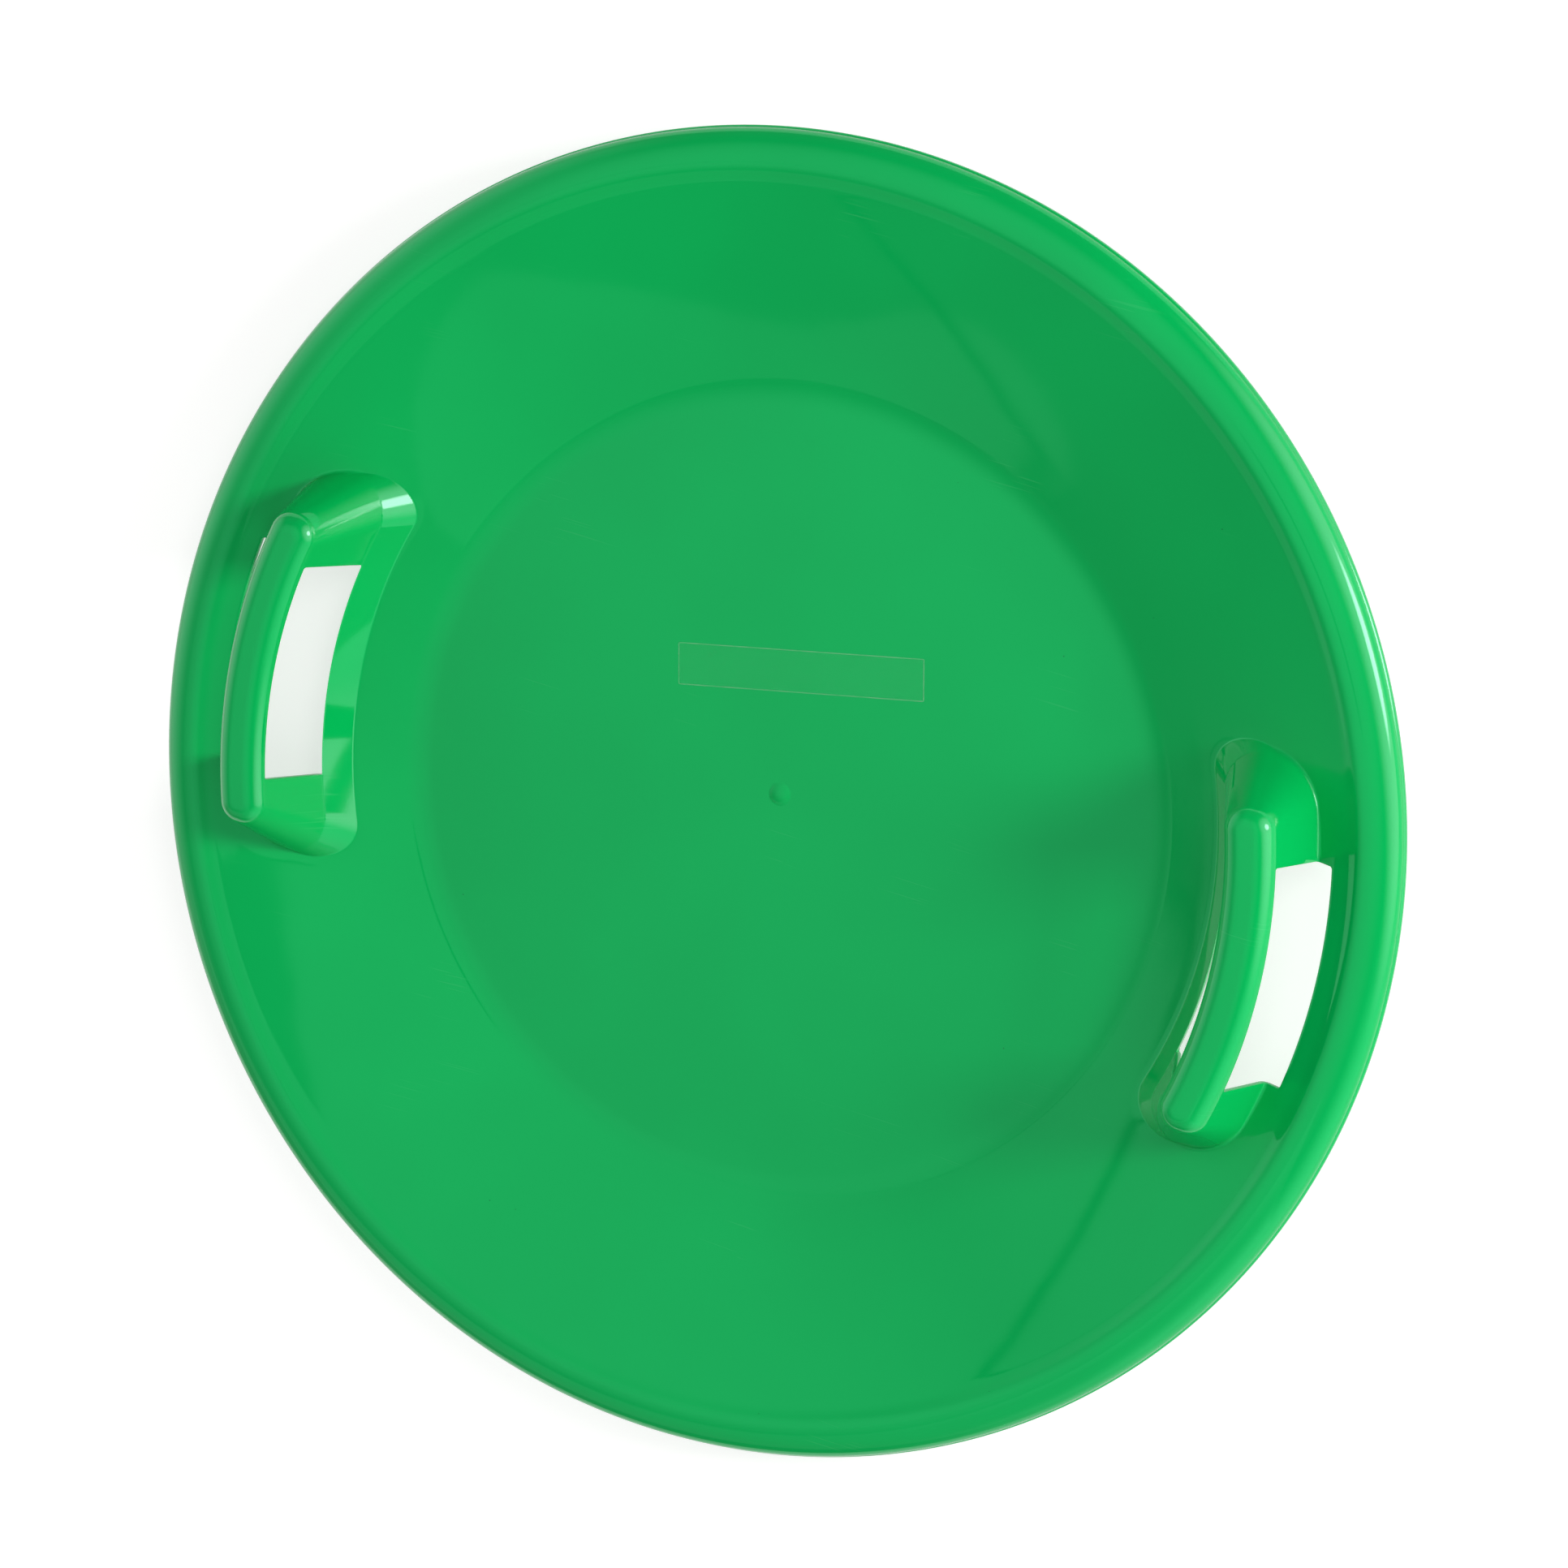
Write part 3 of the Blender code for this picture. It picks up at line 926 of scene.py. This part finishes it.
def make_film(centre):
    """Clear film that shows by its sheen and by a thin frosted line along its cut edge."""
    film, finish = bpy.context.scene.sled_film, bpy.context.scene.sled_finish
    material, shader = new_material("clear_film")
    place = add_node(material, "ShaderNodeTexCoord").outputs["Object"]
    squared = add_node(material, "ShaderNodeMapping", {"vector_type": "TEXTURE"}, Vector=place,
                       Location=(centre.x, centre.y, 0.0), Rotation=(0.0, 0.0, film.turn))
    sides = add_node(material, "ShaderNodeVectorMath", {"operation": "ABSOLUTE"},
                     _0=squared.outputs["Vector"])
    apart = add_node(material, "ShaderNodeSeparateXYZ", Vector=sides.outputs["Vector"])
    edges = []
    for side, half in (("X", film.length / 2.0), ("Y", film.width / 2.0)):
        edges.append(remap(material, apart.outputs[side], half - film.edge * 1.5, half - film.edge))
    edge = add_node(material, "ShaderNodeMath", {"operation": "MAXIMUM"}, _0=edges[0], _1=edges[1])
    patchy = remap(material, noise(material, place, 160.0), 0.35, 0.65,
                   finish.film_edge_haze * 0.5, finish.film_edge_haze)
    haze = add_node(material, "ShaderNodeMath", {"operation": "MULTIPLY_ADD"},
                    _0=edge.outputs["Value"], _1=patchy, _2=finish.film_haze)
    material.node_tree.links.new(haze.outputs["Value"], shader.inputs["Alpha"])
    shader.inputs["Base Color"].default_value = (*finish.film, 1.0)
    ripple = add_node(material, "ShaderNodeBump", Height=noise(material, place, 60.0, 1.0),
                      Strength=1.0, Distance=RIPPLE_HEIGHT)
    material.node_tree.links.new(ripple.outputs["Normal"], shader.inputs["Normal"])
    shader.inputs["Roughness"].default_value = FILM_ROUGHNESS
    shader.inputs["Specular IOR Level"].default_value = FILM_GLOSS
    return material


BUBBLE_TURNS = 24
BUBBLE_RINGS = 12


class SLED_OT_film(bpy.types.Operator):
    """Make the clear film label on the floor of the dish"""

    bl_idname = "sled.film"
    bl_label = "Film Label"

    def execute(self, context):
        film = context.scene.sled_film
        low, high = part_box("label")
        centre = (low + high) / 2.0
        bm = bmesh.new()
        size = Matrix.Diagonal((film.length, film.width, film.thickness, 1.0))
        middle = Vector((centre.x, centre.y, floor_top() + film.gap + film.thickness / 2.0))
        lie = Matrix.Translation(middle) @ Matrix.Rotation(film.turn, 4, "Z")
        bmesh.ops.create_cube(bm, size=1.0, matrix=lie @ size)
        upright = [edge for edge in bm.edges
                   if abs(edge.verts[0].co.z - edge.verts[1].co.z) > film.thickness / 2.0]
        round_edges(bm, upright, film.corner, CORNER_SEGMENTS)
        bubble = Matrix.Translation((*film.bubble_place, middle.z))
        flatten = Matrix.Diagonal((film.bubble, film.bubble, film.bubble_height, 1.0))
        bmesh.ops.create_uvsphere(bm, u_segments=BUBBLE_TURNS, v_segments=BUBBLE_RINGS, radius=1.0,
                                  matrix=bubble @ flatten)
        bmesh.ops.recalc_face_normals(bm, faces=bm.faces)
        label = to_object("film_label", bm)
        label.data.shade_smooth()
        label.data.set_sharp_from_angle(angle=CREASE)
        label.data.materials.append(make_film(centre))
        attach(label, "root")
        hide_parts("label")
        return {"FINISHED"}


# Camera: where it stands, and its axes, in the sled's frame
CAMERA_PLACE = Vector((0.95502, 0.70009, 2.4848))
CAMERA_RIGHT = Vector((0.89456805, 0.19985564, -0.39975708))
CAMERA_DOWN = Vector((0.28151836, -0.94667573, 0.15669228))
CAMERA_LENS = 127.87
CAMERA_SENSOR = 36.0

# The stage's floor. It lies this far under the sled, so that the two don't share a plane
FLOOR_GAP = 0.0002
FLOOR_HALF_WIDTH = 30.0
FLOOR_CELLS = 8
FLOOR_COLOUR = (0.62, 0.62, 0.61, 1.0)
FLOOR_ROUGHNESS = 0.9
FLOOR_GLOSS = 0.1

# The lamps, in metres
LAMP_DISTANCE = 3.0
KEY_WIDTH = 0.8
KEY_HEIGHT = 0.9
UPPER_SIZE = 0.8

# What the plastic mirrors of the tall lamp is a glowing card. Each of its lights is nothing
# beyond the first angle and full within the second, in degrees, and then has its strength.
CARD_SIZE = 6.0
CARD_COLOUR = (1.0, 0.28, 0.50, 1.0)
CARD_AZIMUTH = math.radians(27.0)
CARD_LIGHTS = ((45.0, 0.0, 7.0), (13.0, 6.0, 30.0))

# The room's walls: azimuth, elevation and spread in degrees, and how much brighter than the rest
WALLS = ((-36.0, 4.0, 57.0, 1.25), (177.0, 10.0, 44.0, 1.25), (167.0, 78.0, 42.0, 0.76),
         (275.0, 10.0, 45.0, -0.20), (68.0, 57.0, 89.0, -0.22))

# The round reflector's rim
RIM_PLACE = (-1.0295, -0.8377, 2.0)
RIM_FACING = (-1.4043, 0.0221, 1.0)
RIM_REACH = 0.8372
RIM_STRIP = 0.010
RIM_SIDES = 128

# What hangs overhead, at this height: a dark rail along a bowed edge, and a pale panel
CEILING = 3.0
RAIL_EDGE = ((0.16, -0.34), (0.12, -0.26), (0.08, -0.17), (0.04, -0.11), (-0.02, -0.03),
             (-0.10, 0.04), (-0.17, 0.10), (-0.26, 0.15), (-0.36, 0.19))
RAIL_WIDTH = 0.085
RAIL_PASSING = 0.3
PANEL_GLOW = 0.30
PANEL_CORNERS = ((0.47, -1.07), (-0.39, -1.91), (-0.52, -2.12), (-0.73, -2.36), (-1.00, -2.59),
                 (-1.21, -2.72), (-1.36, -2.79), (-1.59, -2.85), (-1.94, -2.88), (-3.00, -3.00),
                 (-6.00, -3.20), (-6.00, -9.00), (4.50, -9.00), (4.50, -4.50))


def add_camera():
    data = bpy.data.cameras.new("camera")
    data.lens = CAMERA_LENS
    data.sensor_width = CAMERA_SENSOR
    camera = bpy.data.objects.new("camera", data)
    forward = CAMERA_RIGHT.cross(CAMERA_DOWN)
    axes = Matrix((CAMERA_RIGHT, -CAMERA_DOWN, -forward)).transposed().to_4x4()
    camera.matrix_world = Matrix.Translation(CAMERA_PLACE) @ axes
    bpy.context.scene.collection.objects.link(camera)
    bpy.context.scene.camera = camera


def toward(azimuth, elevation):
    """The unit vector at this azimuth and elevation."""
    level = math.cos(elevation)
    return Vector((level * math.cos(azimuth), level * math.sin(azimuth), math.sin(elevation)))


def add_lamp(name, power, width, height, direction):
    """A soft lamp that looks at the sled and is seen neither directly nor in the plastic."""
    data = bpy.data.lights.new(name, "AREA")
    data.shape = "RECTANGLE"
    data.size, data.size_y = width, height
    data.energy = power
    lamp = bpy.data.objects.new(name, data)
    turned = direction.to_track_quat("Z", "Y").to_matrix().to_4x4()
    lamp.matrix_world = Matrix.Translation(direction * LAMP_DISTANCE) @ turned
    lamp.visible_camera = False
    lamp.visible_glossy = False
    bpy.context.scene.collection.objects.link(lamp)


def make_pale_floor(look):
    """Pale floor that looks white and still takes the sled's shadow."""
    material, shader = new_material("pale_floor")
    shader.inputs["Base Color"].default_value = FLOOR_COLOUR
    shader.inputs["Roughness"].default_value = FLOOR_ROUGHNESS
    shader.inputs["Specular IOR Level"].default_value = FLOOR_GLOSS
    shader.inputs["Emission Color"].default_value = WHITE
    path = add_node(material, "ShaderNodeLightPath")
    seen = path.outputs["Is Camera Ray"]
    for ray in ("Is Glossy Ray", "Is Transmission Ray"):
        seen = add_node(material, "ShaderNodeMath", {"operation": "MAXIMUM"},
                        _0=seen, _1=path.outputs[ray]).outputs["Value"]
    material.node_tree.links.new(product(material, seen, look.floor_glow),
                                 shader.inputs["Emission Strength"])
    return material


def make_veil(name, passing, glow, colour):
    """Something in the studio that dims or brightens what lies behind it."""
    material, shader = new_material(name)
    tree = material.node_tree
    tree.nodes.remove(shader)
    veil = add_node(material, "ShaderNodeBsdfTransparent", Color=(passing, passing, passing, 1.0))
    lit = add_node(material, "ShaderNodeEmission", Color=colour, Strength=glow)
    both = add_node(material, "ShaderNodeAddShader", _0=veil.outputs["BSDF"],
                    _1=lit.outputs["Emission"])
    tree.links.new(both.outputs["Shader"], tree.nodes["Material Output"].inputs["Surface"])
    return material


def add_mirrored(name, bm, passing, glow=0.0, colour=WHITE):
    """Stand a piece of the studio where only the plastic's mirror images show it."""
    item = to_object(name, bm)
    material = make_veil(name, passing, glow, colour)
    item.data.materials.append(material)
    for ray in ("camera", "diffuse", "shadow", "transmission"):
        setattr(item, f"visible_{ray}", False)
    return material


def near_direction(material, vector, direction, outer, inner):
    """1 within the inner angle of a direction, falling to 0 at the outer one, both in degrees."""
    near = add_node(material, "ShaderNodeVectorMath", {"operation": "DOT_PRODUCT"},
                    _0=vector, _1=direction)
    return remap(material, near.outputs["Value"], math.cos(math.radians(outer)),
                 math.cos(math.radians(inner)))


def add_key_card(elevation):
    """The card that stands for the tall lamp in the plastic's mirror images."""
    bm = bmesh.new()
    direction = toward(CARD_AZIMUTH, elevation)
    turned = direction.to_track_quat("Z", "Y").to_matrix().to_4x4()
    bmesh.ops.create_grid(bm, x_segments=1, y_segments=1, size=CARD_SIZE / 2.0,
                          matrix=Matrix.Translation(direction * LAMP_DISTANCE) @ turned)
    material = add_mirrored("key_card", bm, 1.0, colour=CARD_COLOUR)
    place = add_node(material, "ShaderNodeTexCoord").outputs["Object"]
    unit = add_node(material, "ShaderNodeVectorMath", {"operation": "NORMALIZE"}, _0=place)
    glow = 0.0
    for outer, inner, strength in CARD_LIGHTS:
        share = near_direction(material, unit.outputs["Vector"], direction, outer, inner)
        glow = add_node(material, "ShaderNodeMath", {"operation": "MULTIPLY_ADD"},
                        _0=share, _1=strength, _2=glow).outputs["Value"]
    material.node_tree.links.new(glow, material.node_tree.nodes["Emission"].inputs["Strength"])


def add_reflector_rim():
    """The dark rim of a round reflector."""
    bm = bmesh.new()
    tilt = Vector(RIM_FACING).to_track_quat("Z", "Y").to_matrix().to_4x4()
    stand = Matrix.Translation(RIM_PLACE) @ tilt
    edges = set()
    for radius in (RIM_REACH - RIM_STRIP / 2.0, RIM_REACH + RIM_STRIP / 2.0):
        made = bmesh.ops.create_circle(bm, segments=RIM_SIDES, radius=radius, matrix=stand)
        edges.update(edge for vert in made["verts"] for edge in vert.link_edges)
    bmesh.ops.bridge_loops(bm, edges=list(edges))
    add_mirrored("reflector_rim", bm, 0.0)


def add_ceiling():
    """A dark rail and a pale panel overhead."""
    bm = bmesh.new()
    edge = [bm.verts.new((x, y, CEILING)) for x, y in RAIL_EDGE]
    edge += [bm.verts.new((x - RAIL_WIDTH, y - RAIL_WIDTH, CEILING))
             for x, y in reversed(RAIL_EDGE)]
    bmesh.ops.contextual_create(bm, geom=edge)
    add_mirrored("ceiling_rail", bm, RAIL_PASSING)
    bm = bmesh.new()
    corners = [bm.verts.new((x, y, CEILING)) for x, y in PANEL_CORNERS]
    bmesh.ops.contextual_create(bm, geom=corners)
    add_mirrored("ceiling_panel", bm, 1.0, PANEL_GLOW)


def make_room(look):
    """Light from all round, with brighter and dimmer walls."""
    world = bpy.data.worlds.new("room")
    world.use_nodes = True
    direction = add_node(world, "ShaderNodeTexCoord").outputs["Generated"]
    level = look.room_light
    for azimuth, elevation, spread, strength in WALLS:
        middle = toward(math.radians(azimuth), math.radians(elevation))
        wall = near_direction(world, direction, middle, spread, 0.0)
        level = add_node(world, "ShaderNodeMath", {"operation": "MULTIPLY_ADD"},
                         _0=wall, _1=strength, _2=level).outputs["Value"]
    background = world.node_tree.nodes["Background"]
    background.inputs["Color"].default_value = WHITE
    world.node_tree.links.new(level, background.inputs["Strength"])
    return world


class SLED_OT_stage(bpy.types.Operator):
    """Make the floor, the lamps, the room's light and the camera"""

    bl_idname = "sled.stage"
    bl_label = "Stage"

    def execute(self, context):
        look = context.scene.sled_stage
        bm = bmesh.new()
        bmesh.ops.create_grid(bm, x_segments=FLOOR_CELLS, y_segments=FLOOR_CELLS,
                              size=FLOOR_HALF_WIDTH,
                              matrix=Matrix.Translation((0.0, 0.0, -FLOOR_GAP)))
        floor = to_object("floor", bm)
        floor.data.materials.append(make_pale_floor(look))
        add_lamp("key_lamp", look.key_power, KEY_WIDTH, KEY_HEIGHT,
                 toward(look.key_azimuth, look.key_elevation))
        add_lamp("upper_lamp", look.upper_power, UPPER_SIZE, UPPER_SIZE,
                 toward(look.upper_azimuth, look.upper_elevation))
        add_key_card(look.key_elevation)
        add_reflector_rim()
        add_ceiling()
        context.scene.world = make_room(look)
        context.scene.view_settings.view_transform = "Standard"
        add_camera()
        return {"FINISHED"}


class SLED_PT_panel(bpy.types.Panel):
    """Lists the sled's pieces, sizes and finish"""

    bl_idname = "SLED_PT_panel"
    bl_label = "Saucer Sled"
    bl_space_type = "VIEW_3D"
    bl_region_type = "UI"
    bl_category = "Sled"

    def draw(self, context):
        scene = context.scene
        for title, group in (("Dish", scene.sled_sizes), ("Handles", scene.sled_grip),
                             ("Film", scene.sled_film), ("Finish", scene.sled_finish),
                             ("Stage", scene.sled_stage)):
            box = self.layout.box()
            box.label(text=title)
            for name in group.bl_rna.properties.keys():
                if name not in ("name", "rna_type"):
                    box.prop(group, name)
        for operator in OPERATORS:
            self.layout.operator(operator.bl_idname)


GROUPS = {"sled_sizes": SledSizes, "sled_grip": GripSizes, "sled_film": FilmSizes,
          "sled_finish": SledFinish, "sled_stage": StageLook}
OPERATORS = (SLED_OT_shell, SLED_OT_film, SLED_OT_stage)
CLASSES = (*GROUPS.values(), *OPERATORS, SLED_PT_panel)


def register():
    for item in CLASSES:
        bpy.utils.register_class(item)
    for name, group in GROUPS.items():
        setattr(bpy.types.Scene, name, PointerProperty(type=group))


def unregister():
    for name in GROUPS:
        delattr(bpy.types.Scene, name)
    for item in reversed(CLASSES):
        bpy.utils.unregister_class(item)


def main():
    register()
    bpy.ops.sled.shell()
    bpy.ops.sled.film()
    bpy.ops.sled.stage()


if __name__ == "__main__":
    main()
